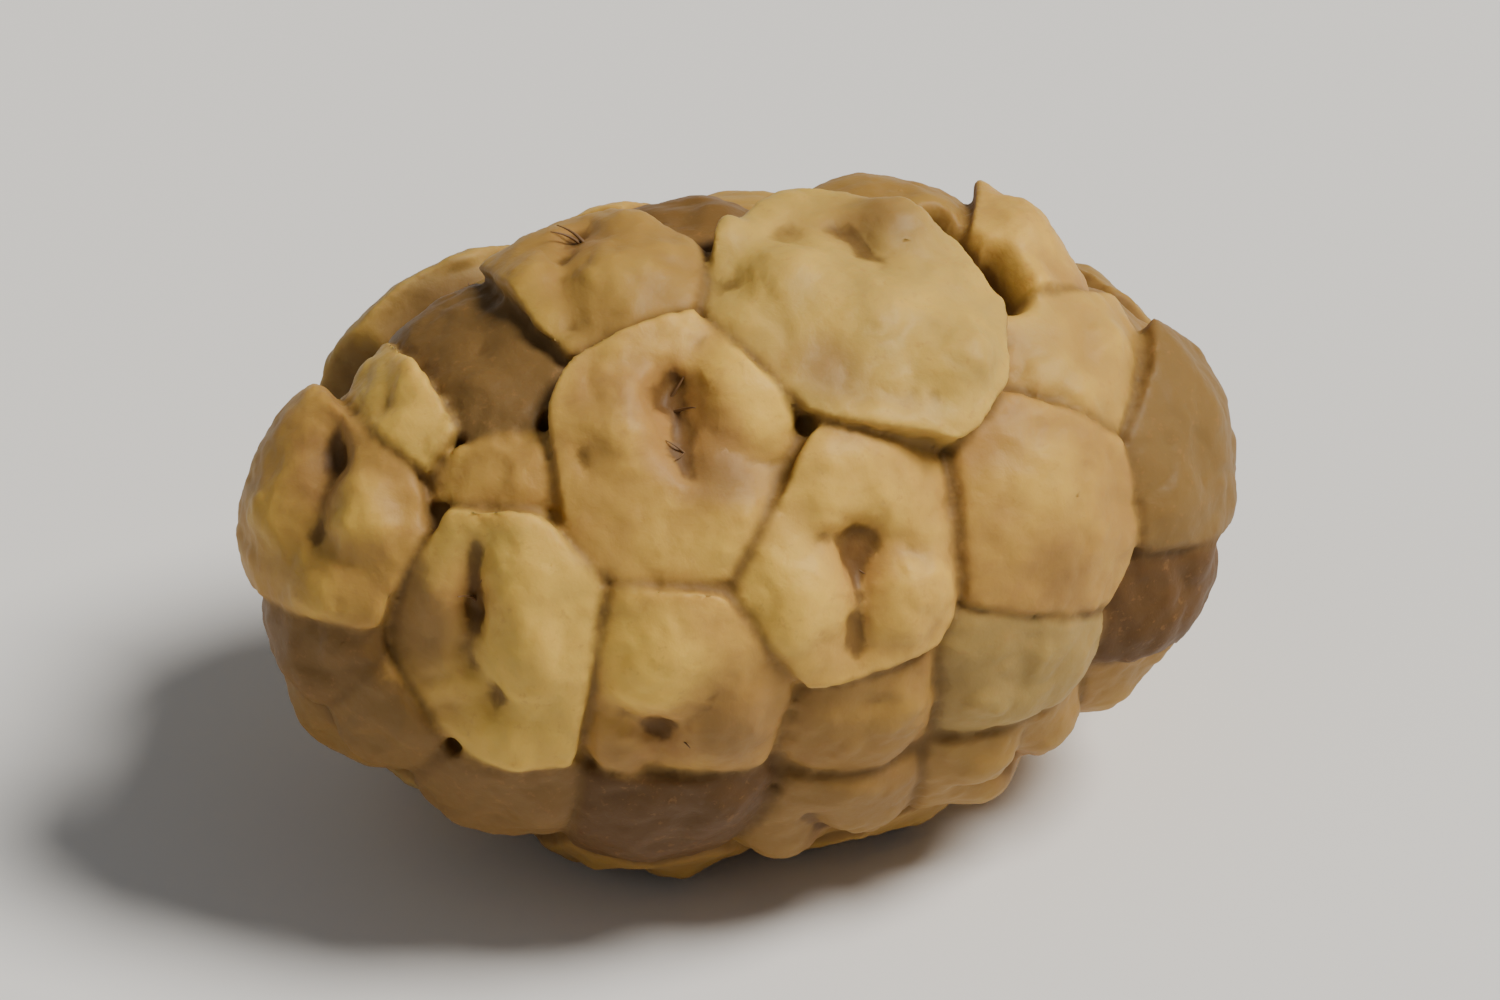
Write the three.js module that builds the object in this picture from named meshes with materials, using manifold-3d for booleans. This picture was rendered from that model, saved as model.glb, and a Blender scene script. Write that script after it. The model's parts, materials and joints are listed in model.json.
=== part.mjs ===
// A dried white mulberry lying on its side, in millimetres, +Z up.
// The fruit's own axis runs along X with the stalk at +X. The origin is on the
// surface it rests on, under the middle of its outline.

import * as THREE from "three";
import { mergeVertices } from "three/addons/utils/BufferGeometryUtils.js";
import Module from "manifold-3d";

const wasm = await Module();
wasm.setup();

// Driving dimensions of the skin, an egg-like round that the drupelets' tops reach.
const FRUIT_LENGTH = 15.6;
const FRUIT_WIDTH = 10.8;
const FRUIT_HEIGHT = 10.6;
const AXIS_HEIGHT = 4.95; // of the fruit's axis above the surface
const AXIS_SHIFT_X = -0.18; // centres the outline over the origin
const AXIS_SHIFT_Y = 0.13;
const SKIN = new THREE.Vector3(FRUIT_LENGTH / 2, FRUIT_WIDTH / 2, FRUIT_HEIGHT / 2);

// A drupelet is a plump pillow with its root sunk into the fruit's core.
const PILLOW_DEPTH = 1.55; // from its widest girth to its top
const ROOT_DEPTH = 1.6; // from its widest girth to the end of its root
const GIRTH_OVERLAP = 1.06; // girth over the room that the drupelet has
const CORE_SHRINK = 2.35; // from the skin in to the core
const SIDES = 12;
const RING_ANGLES = [18, 37, 57, 80, 118]; // degrees from the top
const PLUMPNESS = 0.86; // under 1 swells the pillow between its top and its girth

// The soft lobes of each form of drupelet, closed round its slit. Creases are in
// degrees round the top, and depths are in millimetres.
const FORMS = {
  cross: { creases: [0, 90, 180, 270], slit: 0.42, pit: 0.6 },
  pit: { creases: [0, 120, 240], slit: 0.3, pit: 0.95 },
  slit: { creases: [0, 180], slit: 0.62, pit: 0.62 },
  fork: { creases: [0, 120, 240], slit: 0.5, pit: 0.55 },
  cap: { creases: [], slit: 0, pit: 0 },
};
const CREASE_FADE = [1, 0.75, 0.2, 0, 0]; // of a crease at each ring of a pillow

// The drupelets that show from the front: along the axis in mm, degrees round it
// from the top towards the front, width, length over width, degrees that the slit
// is turned, how proud it stands, and form.
const FRONT_DRUPELETS = [
  [-6.9, 33, 3.0, 1.1, 10, 0.3, "fork"],
  [-5.5, 13, 2.1, 1.15, 0, 0.15, "cap"],
  [-4.3, 9, 3.2, 1.15, 0, -0.2, "cap"],
  [-2.3, 2, 3.0, 1.1, 60, 0.15, "fork"],
  [-1.9, 43, 3.9, 1.05, 20, 0.15, "pit"],
  [1.4, 22, 4.2, 1.1, 40, 0.3, "slit"],
  [2.9, -3, 2.7, 1.1, 0, 0.15, "cap"],
  [4.5, 7, 2.2, 1.5, 0, 0.25, "slit"],
  [4.8, 32, 3.0, 1.0, 0, 0.0, "cap"],
  [3.8, 65, 3.2, 1.05, 0, 0.15, "cap"],
  [6.4, 61, 2.9, 1.1, 0, 0.2, "cap"],
  [6.1, 98, 2.5, 1.1, 0, 0.1, "cap"],
  [3.2, 93, 2.8, 1.0, 0, 0.0, "cap"],
  [0.2, 63, 3.7, 1.05, 0, 0.15, "cross"],
  [0.5, 94, 2.4, 1.0, 90, -0.05, "cap"],
  [-5.0, 74, 3.4, 1.2, 0, 0.1, "slit"],
  [-2.4, 83, 3.2, 1.15, 0, 0.1, "cross"],
  [-4.6, 38, 2.3, 1.15, 90, -0.05, "cap"],
  [-7.2, 80, 2.3, 1.0, 0, 0.2, "cap"],
  [-6.5, 103, 2.4, 1.0, 0, 0.1, "cap"],
  [-4.9, 119, 2.7, 1.1, 0, 0.1, "cap"],
  [-2.5, 119, 3.0, 1.05, 0, 0.1, "slit"],
  [-0.6, -9, 2.5, 1.1, 0, -0.3, "cap"],
];

// Behind them the drupelets have shrunk further, and are lower than the skin.
const SUNKEN_DRUPELETS = [
  [-7.7, -80, 2.6, 1.0, 30, -0.7, "fork"],
  [-6.2, -62, 2.9, 1.0, 20, -0.8, "cap"],
  [-6.5, -20, 2.4, 1.0, 0, -0.8, "cap"],
  [-4.2, -35, 3.0, 1.0, 40, -0.8, "slit"],
  [-2.0, -39, 2.9, 1.0, 0, -0.75, "cross"],
  [0.9, -44, 3.0, 1.0, 70, -0.45, "cap"],
  [3.4, -41, 2.9, 1.0, 20, -0.4, "fork"],
  [5.4, -34, 2.7, 1.0, 0, -0.55, "cap"],
  [6.7, 12, 2.3, 1.0, 0, -0.55, "cap"],
];

// The drupelets under the front ones.
const LOW_DRUPELETS = [
  [5.7, 130, 2.6, 1.0, 0, -0.05, "cap"],
  [3.1, 127, 2.9, 1.0, 40, 0.0, "fork"],
  [0.2, 128, 2.9, 1.0, 30, 0.0, "slit"],
  [-7.0, 137, 2.3, 1.0, 0, -0.05, "cap"],
  [-6.4, -165, 2.7, 1.0, 0, -0.3, "cap"],
];

// The drupelets that the fruit rests on, flattened by the surface.
const FOOT_DRUPELETS = [
  [-2.1, 160, 3.2, 1.0, 20, 0.15, "cross"],
  [1.5, 160, 3.3, 1.0, 50, 0.15, "slit"],
  [-0.3, -162, 3.3, 1.0, 80, 0.15, "cross"],
  [3.3, -164, 3.1, 1.0, 10, 0.25, "fork"],
  [-3.8, -164, 3.1, 1.0, 60, 0.3, "cap"],
];

// The rest of the skin is filled by a seeded rule with drupelets of these sizes.
const FILL_WIDTHS = [2.7, 3.6];
const FILL_RISES = [-0.35, 0.05];
const FILL_ROOM = 0.8; // of the usual distance, least room that a new one needs
const FILL_TRIES = 400;
const FILL_ROUNDS = 40;
const FILL_SEED = 20641;
const FORM_ORDER = ["cross", "cap", "slit", "pit", "cap", "fork", "cross", "slit"];
const LEAN = 9; // degrees that a drupelet may lean over, either way

// The stalk, a short bent stub in the hollow among the last drupelets.
const STALK_SEAT_X = 6.3; // the flat end of the core that the stalk grows from
const STALK_TIP = new THREE.Vector3(7.9, 1.3, -0.3);
const STALK_RADII = [0.62, 0.46, 0.42, 0.5]; // from the seat to the cut end
const STALK_SIDES = 14;
const HOLLOW_WIDTH = 2.6; // that the drupelets leave free round the stalk

function seededRandom(seed) {
  let state = seed;
  return () => {
    state = (state * 48271) % 2147483647;
    return state / 2147483647;
  };
}

function skinPoint(along, round) {
  const turn = THREE.MathUtils.degToRad(round);
  const girth = Math.sqrt(Math.max(0, 1 - (along / SKIN.x) ** 2));
  return new THREE.Vector3(
    along,
    -SKIN.y * girth * Math.sin(turn),
    SKIN.z * girth * Math.cos(turn),
  );
}

function skinNormal(point) {
  const squares = SKIN.clone().multiply(SKIN);
  return point.clone().divide(squares).normalize();
}

function ontoSkin(point) {
  return point.divideScalar(point.clone().divide(SKIN).length());
}

function listedDrupelet([along, round, width, stretch, turn, rise, form]) {
  return { at: skinPoint(along, round), width, stretch, turn, rise, form, settled: true };
}

function between(random, [low, high]) {
  return low + (high - low) * random();
}

function roomAt(point, width, drupelets) {
  const rooms = drupelets.map((d) => point.distanceTo(d.at) / ((width + d.width) / 2));
  return Math.min(...rooms);
}

// Adds drupelets one by one where there is most room, until no room is left.
function fillSkin(drupelets, random) {
  for (;;) {
    const width = between(random, FILL_WIDTHS);
    let best = null;
    let mostRoom = FILL_ROOM;
    for (let i = 0; i < FILL_TRIES; i += 1) {
      const height = between(random, [-1, 1]);
      const turn = between(random, [0, 2 * Math.PI]);
      const girth = Math.sqrt(1 - height * height);
      const unit = new THREE.Vector3(height, girth * Math.cos(turn), girth * Math.sin(turn));
      const point = unit.multiply(SKIN);
      const room = roomAt(point, width, drupelets);
      if (room > mostRoom) {
        mostRoom = room;
        best = point;
      }
    }
    if (!best) return;
    drupelets.push({
      at: best,
      width,
      stretch: between(random, [1, 1.2]),
      turn: between(random, [0, 180]),
      rise: between(random, FILL_RISES),
      form: FORM_ORDER[drupelets.length % FORM_ORDER.length],
      settled: false,
    });
  }
}

// Pushes the added drupelets apart until they share the skin evenly.
function settle(drupelets) {
  for (let round = 0; round < FILL_ROUNDS; round += 1) {
    for (const drupelet of drupelets) {
      if (drupelet.settled) continue;
      const push = new THREE.Vector3();
      for (const other of drupelets) {
        const away = drupelet.at.clone().sub(other.at);
        const distance = away.length();
        const reach = (drupelet.width + other.width) / 2;
        if (other === drupelet || distance >= reach) continue;
        push.addScaledVector(away, (0.3 * (reach - distance)) / distance);
      }
      drupelet.at.copy(ontoSkin(drupelet.at.clone().add(push)));
    }
  }
}

function placeDrupelets() {
  const random = seededRandom(FILL_SEED);
  const listed = [FRONT_DRUPELETS, SUNKEN_DRUPELETS, LOW_DRUPELETS, FOOT_DRUPELETS].flat();
  const drupelets = listed.map(listedDrupelet);
  const stalkHollow = { at: new THREE.Vector3(SKIN.x, 0, 0), width: HOLLOW_WIDTH, settled: true };
  drupelets.push(stalkHollow);
  fillSkin(drupelets, random);
  settle(drupelets);
  drupelets.splice(drupelets.indexOf(stalkHollow), 1);
  for (const drupelet of drupelets) {
    drupelet.lean = [between(random, [-LEAN, LEAN]), between(random, [-LEAN, LEAN])];
  }
  return drupelets;
}

function angleApart(a, b) {
  const apart = Math.abs(a - b) % 360;
  return Math.min(apart, 360 - apart);
}

// A pillow with its top at +Z and its girth in the XY plane.
function pillowGeometry({ width, stretch, form }) {
  const { creases, slit, pit } = FORMS[form];
  const step = 360 / SIDES;
  const points = [[0, 0, PILLOW_DEPTH - pit]];
  RING_ANGLES.forEach((ringAngle, ring) => {
    const fall = THREE.MathUtils.degToRad(ringAngle);
    const out = Math.abs(Math.sin(fall)) ** PLUMPNESS;
    const up = Math.sign(Math.cos(fall)) * Math.abs(Math.cos(fall)) ** PLUMPNESS;
    for (let side = 0; side < SIDES; side += 1) {
      const turn = side * step;
      const nearest = Math.min(...creases.map((crease) => angleApart(crease, turn)));
      const inCrease = nearest < step / 2 ? CREASE_FADE[ring] : 0;
      const depth = up > 0 ? PILLOW_DEPTH : ROOT_DEPTH;
      const radius = (width / 2) * GIRTH_OVERLAP * out;
      points.push([
        radius * stretch * Math.cos(THREE.MathUtils.degToRad(turn)),
        radius * Math.sin(THREE.MathUtils.degToRad(turn)),
        depth * up - slit * inCrease,
      ]);
    }
  });
  points.push([0, 0, -ROOT_DEPTH]);
  return ringedGeometry(points, RING_ANGLES.length, SIDES);
}

// Faces for a closed shape: a first pole, rings of equal count, and a last pole.
function ringedGeometry(points, rings, sides) {
  const faces = [];
  const last = points.length - 1;
  for (let side = 0; side < sides; side += 1) {
    const next = (side + 1) % sides;
    faces.push(0, 1 + side, 1 + next);
    for (let ring = 0; ring < rings - 1; ring += 1) {
      const upper = 1 + ring * sides;
      const lower = upper + sides;
      faces.push(upper + side, lower + side, lower + next);
      faces.push(upper + side, lower + next, upper + next);
    }
    const end = 1 + (rings - 1) * sides;
    faces.push(end + side, last, end + next);
  }
  const geometry = new THREE.BufferGeometry();
  geometry.setAttribute("position", new THREE.Float32BufferAttribute(points.flat(), 3));
  geometry.setIndex(faces);
  return geometry;
}

// Turns and moves a pillow so that its top stands on the skin, facing out.
function placedPillow(drupelet) {
  const out = skinNormal(drupelet.at);
  const axis = new THREE.Vector3(1, 0, 0);
  const across = axis.addScaledVector(out, -axis.dot(out)).normalize();
  const around = new THREE.Vector3().crossVectors(across, out);
  const basis = new THREE.Matrix4().makeBasis(around, across, out);
  const [leanX, leanY] = drupelet.lean.map(THREE.MathUtils.degToRad);
  const centre = drupelet.at.clone().addScaledVector(out, drupelet.rise - PILLOW_DEPTH);
  const placed = new THREE.Matrix4()
    .setPosition(centre)
    .multiply(basis)
    .multiply(new THREE.Matrix4().makeRotationX(leanX))
    .multiply(new THREE.Matrix4().makeRotationY(leanY))
    .multiply(new THREE.Matrix4().makeRotationZ(THREE.MathUtils.degToRad(drupelet.turn)));
  return pillowGeometry(drupelet).applyMatrix4(placed);
}

function solidOf(geometry) {
  const bare = geometry.clone();
  bare.deleteAttribute("normal");
  bare.deleteAttribute("uv");
  const merged = mergeVertices(bare, 1e-4);
  return new wasm.Manifold(
    new wasm.Mesh({
      numProp: 3,
      vertProperties: merged.attributes.position.array,
      triVerts: new Uint32Array(merged.index.array),
    }),
  );
}

function geometryOf(solid) {
  const { vertProperties, triVerts } = solid.getMesh();
  const geometry = new THREE.BufferGeometry();
  geometry.setAttribute("position", new THREE.BufferAttribute(vertProperties, 3));
  geometry.setIndex(new THREE.BufferAttribute(triVerts, 1));
  geometry.computeVertexNormals();
  return geometry;
}

function coreGeometry() {
  const core = new THREE.SphereGeometry(1, 20, 12).rotateZ(Math.PI / 2);
  return core.scale(SKIN.x - CORE_SHRINK, SKIN.y - CORE_SHRINK, SKIN.z - CORE_SHRINK);
}

// The short neck of the core, with the flat end that the stalk grows from.
function neckGeometry() {
  const radius = STALK_RADII[0] + 0.25;
  const length = 2.5;
  const neck = new THREE.CylinderGeometry(radius, 1.6, length, STALK_SIDES);
  return neck.rotateZ(-Math.PI / 2).translate(STALK_SEAT_X - length / 2, 0, 0);
}

function boxBelowSurface() {
  const deep = 5;
  const box = new THREE.BoxGeometry(2 * FRUIT_LENGTH, 2 * FRUIT_WIDTH, deep);
  return box.translate(0, 0, -AXIS_HEIGHT - deep / 2);
}

function stalkWell() {
  const length = 4;
  const well = new THREE.CylinderGeometry(1.0, STALK_RADII[0] + 0.2, length, STALK_SIDES);
  return well.rotateZ(-Math.PI / 2).translate(STALK_SEAT_X + length / 2, 0, 0);
}

// The outer skin alone, so that hollows sealed between pillows are filled.
function filled(solid) {
  const shells = solid.decompose();
  return shells.reduce((a, b) => (b.volume() > a.volume() ? b : a));
}

function fruitGeometry() {
  let solid = solidOf(coreGeometry()).add(solidOf(neckGeometry()));
  for (const drupelet of placeDrupelets()) {
    solid = solid.add(solidOf(placedPillow(drupelet)));
  }
  solid = solid.subtract(solidOf(stalkWell()));
  solid = solid.subtract(solidOf(boxBelowSurface()));
  return geometryOf(filled(solid));
}

function stalkGeometry() {
  const points = [[STALK_SEAT_X, 0, 0]];
  const steps = STALK_RADII.length - 1;
  STALK_RADII.forEach((radius, ring) => {
    const share = ring / steps;
    for (let side = 0; side < STALK_SIDES; side += 1) {
      const turn = (2 * Math.PI * side) / STALK_SIDES;
      points.push([
        THREE.MathUtils.lerp(STALK_SEAT_X, STALK_TIP.x, share),
        share * share * STALK_TIP.y + radius * Math.cos(turn),
        share * share * STALK_TIP.z - radius * Math.sin(turn),
      ]);
    }
  });
  points.push(STALK_TIP.toArray());
  return ringedGeometry(points, STALK_RADII.length, STALK_SIDES);
}

const fruitMaterial = new THREE.MeshStandardMaterial({
  color: 0xc9a45c,
  roughness: 0.55,
  metalness: 0,
});
const stalkMaterial = new THREE.MeshStandardMaterial({
  color: 0xb49a62,
  roughness: 0.8,
  metalness: 0,
});

const fruit = new THREE.Mesh(fruitGeometry(), fruitMaterial);
fruit.name = "fruit";
const stalk = new THREE.Mesh(stalkGeometry(), stalkMaterial);
stalk.name = "stalk";

const mulberry = new THREE.Group();
mulberry.add(fruit, stalk);
mulberry.position.set(AXIS_SHIFT_X, AXIS_SHIFT_Y, AXIS_HEIGHT);

export default mulberry;
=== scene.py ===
import json
import math

import bpy
import numpy as np
from bpy.props import FloatProperty, FloatVectorProperty, IntProperty, PointerProperty
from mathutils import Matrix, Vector
from mathutils.bvhtree import BVHTree

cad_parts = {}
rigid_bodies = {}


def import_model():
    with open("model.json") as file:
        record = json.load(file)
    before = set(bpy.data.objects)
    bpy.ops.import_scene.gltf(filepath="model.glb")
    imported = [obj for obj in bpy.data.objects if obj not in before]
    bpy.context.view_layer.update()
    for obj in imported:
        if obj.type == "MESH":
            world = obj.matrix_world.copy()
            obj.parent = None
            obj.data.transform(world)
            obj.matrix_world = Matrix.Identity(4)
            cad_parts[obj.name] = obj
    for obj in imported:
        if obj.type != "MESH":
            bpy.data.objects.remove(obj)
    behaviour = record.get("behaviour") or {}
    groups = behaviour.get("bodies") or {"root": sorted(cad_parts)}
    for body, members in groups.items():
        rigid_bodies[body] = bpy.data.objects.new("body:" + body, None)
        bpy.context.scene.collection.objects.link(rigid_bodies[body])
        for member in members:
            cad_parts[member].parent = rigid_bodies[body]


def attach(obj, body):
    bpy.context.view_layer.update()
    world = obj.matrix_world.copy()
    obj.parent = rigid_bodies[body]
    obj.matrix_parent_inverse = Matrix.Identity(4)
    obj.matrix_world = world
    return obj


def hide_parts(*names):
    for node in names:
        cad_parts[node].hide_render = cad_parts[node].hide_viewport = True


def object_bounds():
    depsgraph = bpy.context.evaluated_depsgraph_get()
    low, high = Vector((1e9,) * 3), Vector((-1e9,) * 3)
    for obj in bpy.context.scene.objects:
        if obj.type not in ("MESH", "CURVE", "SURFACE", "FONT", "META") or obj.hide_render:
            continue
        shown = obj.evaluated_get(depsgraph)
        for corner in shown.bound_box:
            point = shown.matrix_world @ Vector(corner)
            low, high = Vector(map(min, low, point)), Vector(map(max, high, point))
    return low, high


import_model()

bl_info = {
    "name": "Dried Mulberry",
    "version": (1, 0, 0),
    "blender": (4, 5, 0),
    "location": "3D View > Sidebar > Mulberry",
    "description": "Models one dried white mulberry on a pale studio floor",
    "category": "Add Mesh",
}

CAD_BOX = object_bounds()

# The fruit is modelled in millimetres round its own axis and brought to metres at the end.
MM = 0.001
AXIS_PLACE = np.array([-0.18, 0.13, 4.95])  # of the fruit's middle from the origin
PILLOW_DEPTH = 1.55  # from a drupelet's widest girth to its top
ROOT_DEPTH = 1.6  # from there down to its bottom
CORE_SEGMENTS = 128
CORE_RINGS = 96
CORE_BLUR = 1.4  # how softly the core follows the drupelets over it
CORE_LEVELS = (-0.8, 0.1)  # the lowest and highest drupelets that it follows
NECK_LENGTH = 2.4  # of the core's end under the stalk
NECK_RADII = (1.7, 0.8)
NECK_SIDES = 32
STALK_SEAT_X = 6.3
STALK_TIP = (7.9, 1.3, -0.3)

# The drupelets that show from the front: along the axis, degrees round it from the
# top towards the front, width, length over width, turn of the slit, how proud it
# stands, form, warmth from olive to orange, and lightness. The lightness is partly the drupelet's
# own colour and partly painted light and shade: lit drupelets are paler, and those that neighbours
# shade are painted darker.
FRONT_DRUPELETS = [
    (-6.9, 33, 3.0, 1.1, 10, 0.3, "dented", 0.25, -0.4),
    (-5.5, 13, 2.1, 1.15, 0, 0.15, "cap", -0.1, 0.9),
    (-4.3, 9, 3.2, 1.15, 0, -0.2, "cap", -0.8, -1.3),
    (-2.3, 2, 3.0, 1.1, 60, 0.15, "side_lobe", 0.0, -0.6),
    (-1.9, 43, 3.9, 1.05, 20, 0.15, "well", 0.15, 0.15),
    (1.3, 22, 4.1, 1.05, 40, 0.3, "folded", -0.25, 1.1),
    (2.9, -3, 2.7, 1.1, 0, -0.15, "cap", 0.0, -0.8),
    (4.35, 7, 2.2, 1.4, 0, 0.05, "side_gap", 0.4, 0.1),
    (4.8, 32, 3.0, 1.0, 0, 0.0, "cap", -0.1, 0.0),
    (3.8, 65, 3.2, 1.05, 0, 0.15, "plateau", 0.3, -0.35),
    (6.4, 61, 2.9, 1.1, 0, 0.2, "cap", -0.4, -1.05),
    (6.1, 98, 2.5, 1.1, 0, 0.1, "cap", 0.6, -2.1),
    (3.2, 93, 2.8, 1.0, 0, 0.0, "cap", -0.6, 0.0),
    (0.2, 63, 3.7, 1.05, 0, 0.15, "tripod", 0.15, 0.0),
    (0.5, 94, 2.4, 1.0, 90, -0.05, "cap", 0.3, -0.8),
    (-5.0, 74, 3.4, 1.2, 0, 0.1, "long_slit", -0.1, 0.9),
    (-2.4, 83, 3.2, 1.15, 0, 0.1, "low_pit", 0.25, 0.1),
    (-4.6, 38, 2.3, 1.15, 90, -0.05, "cap", 0.3, -0.2),
    (-7.2, 80, 2.3, 1.0, 0, 0.2, "cap", 0.5, -1.3),
    (-6.5, 103, 2.4, 1.0, 0, 0.1, "cap", 0.2, -1.2),
    (-4.9, 119, 2.7, 1.1, 0, 0.1, "cap", 0.4, -1.25),
    (-2.5, 119, 3.0, 1.05, 0, 0.1, "cap", 0.0, -2.4),
    (-0.6, -9, 2.5, 1.1, 0, -0.3, "cap", 0.2, -1.4),
]

# Behind them the drupelets have shrunk further, and are lower than the skin.
SUNKEN_DRUPELETS = [
    (-7.7, -80, 2.6, 1.0, 30, -0.7, "fork", 0.5, -0.5),
    (-6.2, -62, 2.9, 1.0, 20, -0.8, "cap", 0.1, -0.6),
    (-6.5, -20, 2.4, 1.0, 0, -0.8, "cap", 0.1, -0.4),
    (-4.2, -35, 3.0, 1.0, 40, -0.8, "slit", -0.4, -0.8),
    (-2.0, -39, 2.9, 1.0, 0, -0.75, "cross", 0.1, -0.8),
    (0.9, -44, 3.0, 1.0, 70, -0.6, "cap", 0.0, -0.5),
    (3.4, -41, 2.9, 1.0, 20, -0.55, "fork", 0.3, -0.4),
    (5.4, -34, 2.7, 1.0, 0, -0.55, "cap", 0.2, -0.6),
    (6.7, 12, 2.3, 1.0, 0, -0.55, "cap", 0.1, -0.9),
]

# The drupelets under the front ones. Their low lightness is painted shade, where the front ones
# shade them.
LOW_DRUPELETS = [
    (5.7, 130, 2.6, 1.0, 0, -0.05, "cap", 0.3, -0.7),
    (3.1, 127, 2.9, 1.0, 40, 0.0, "fork", 0.0, -0.8),
    (0.2, 128, 2.9, 1.0, 30, 0.0, "slit", 0.2, -1.0),
    (-7.0, 137, 2.3, 1.0, 0, -0.05, "cap", 0.2, -1.1),
    (-6.4, -165, 2.7, 1.0, 0, -0.3, "cap", 0.1, -0.9),
]

# The drupelets that the fruit rests on. Where their lightness is below 0, it is painted shade under
# the fruit.
FOOT_DRUPELETS = [
    (-2.1, 160, 3.2, 1.0, 20, 0.15, "cross", 0.2, -0.9),
    (1.5, 160, 3.3, 1.0, 50, 0.15, "slit", 0.0, -0.8),
    (-0.3, -162, 3.3, 1.0, 80, 0.15, "cross", 0.2, -0.1),
    (3.3, -164, 3.1, 1.0, 10, 0.25, "fork", -0.2, 0.0),
    (-3.8, -164, 3.1, 1.0, 60, 0.3, "cap", 0.4, -0.2),
]

# The rest of the skin is filled by a seeded rule with drupelets of these sizes.
FILL_WIDTHS = (2.7, 3.6)
FILL_STRETCHES = (1, 1.2)
FILL_RISES = (-0.35, 0.05)
FILL_WARMTHS = (-0.6, 0.6)
FILL_LIGHTS = (-0.9, 0.3)
FILL_ROOM = 0.8
FILL_PUSH = 0.3
FILL_TRIES = 400
FILL_ROUNDS = 40
FILL_SEED = 20641
FORM_ORDER = ("cross", "cap", "slit", "pit", "cap", "fork", "cross", "slit")
LEAN = 9

# Round the stalk no drupelet is added, and core and skin are sunk.
STALK_ROOM = 2.6  # the width kept free
CORE_HOLLOW_DEPTH = 0.6
CORE_HOLLOW_REACH = 1.2
SKIN_HOLLOW_MIDDLE = (0.5, -0.1)  # off the fruit's axis, where the stalk leans
SKIN_HOLLOW_DEPTH = 0.8
SKIN_HOLLOW_REACH = 1.2

# How one drupelet is modelled, in its girth radii.
MASTER_SEGMENTS = 144
MASTER_RINGS = 108
CROWN_POWER = 1.93  # 2 is a round crown, less is more pointed
PUFF_CORE = 0.08  # what a puff lifts whole, round its point
PUFF_SPREAD = 0.6  # how much it moves outwards too, over how much it rises
PIT_CORE = 0.05  # what a pit sinks whole
CUT_WIDTH = 0.055  # of the bottom of a cut, to each side
VALLEY_REACH = 0.33
VALLEY_SHARE = 0.65  # of a cut's depth, the rest is its narrow crease
CREASE_REACH = 0.11
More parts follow.
